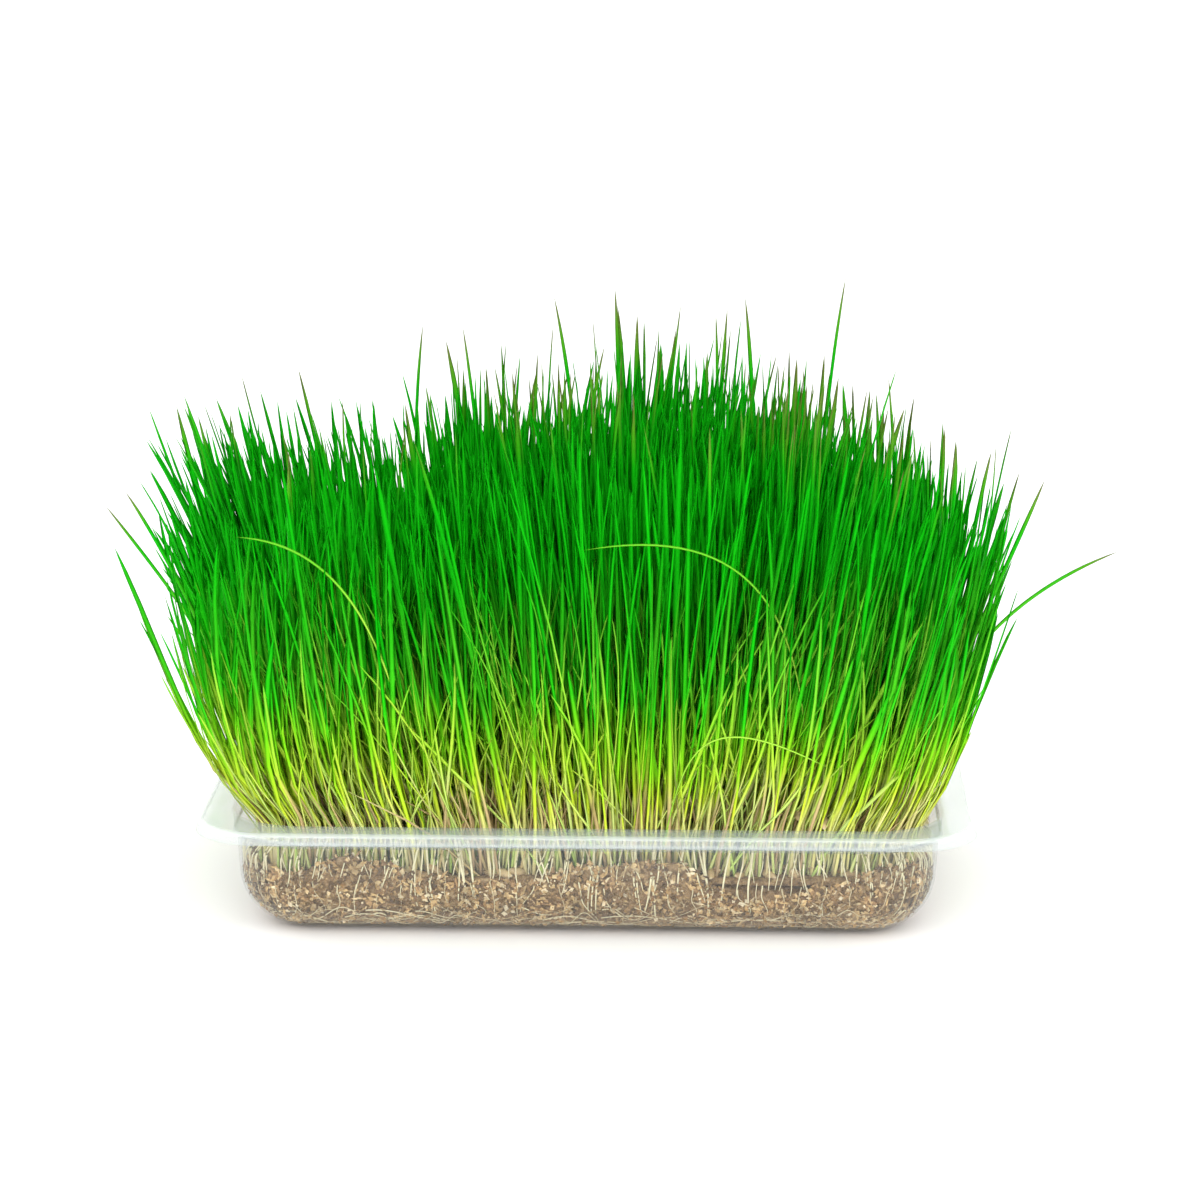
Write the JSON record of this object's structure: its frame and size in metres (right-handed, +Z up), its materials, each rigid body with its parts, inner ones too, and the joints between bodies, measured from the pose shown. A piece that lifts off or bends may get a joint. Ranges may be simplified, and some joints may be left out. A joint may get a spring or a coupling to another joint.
{
  "type": "wheatgrass tray",
  "caption": "Clear shallow food tray with a flange, filled with growing medium, from whose sprouted seed mat a dense sward of upright grass blades fans out.",
  "frame": {"origin": "middle of the flat underside of the tray, on the surface that it stands on", "axes": "+X along the tray's long side, +Y from the front to the back, +Z up the blades"},
  "size_m": [0.32, 0.1827, 0.194],
  "materials": {
    "clear_plastic": "clear, glossy, thin thermoformed sheet",
    "medium": "loose moist flakes and husks, matt",
    "grass": "fresh leaf, satin, pale at the root and deep green above"
  },
  "bodies": {
    "root": {"tray": "clear_plastic", "growing_medium": "medium", "grass_row_1": "grass", "grass_row_2": "grass", "grass_row_3": "grass", "grass_row_4": "grass", "grass_row_5": "grass", "grass_row_6": "grass"}
  },
  "joints": []
}
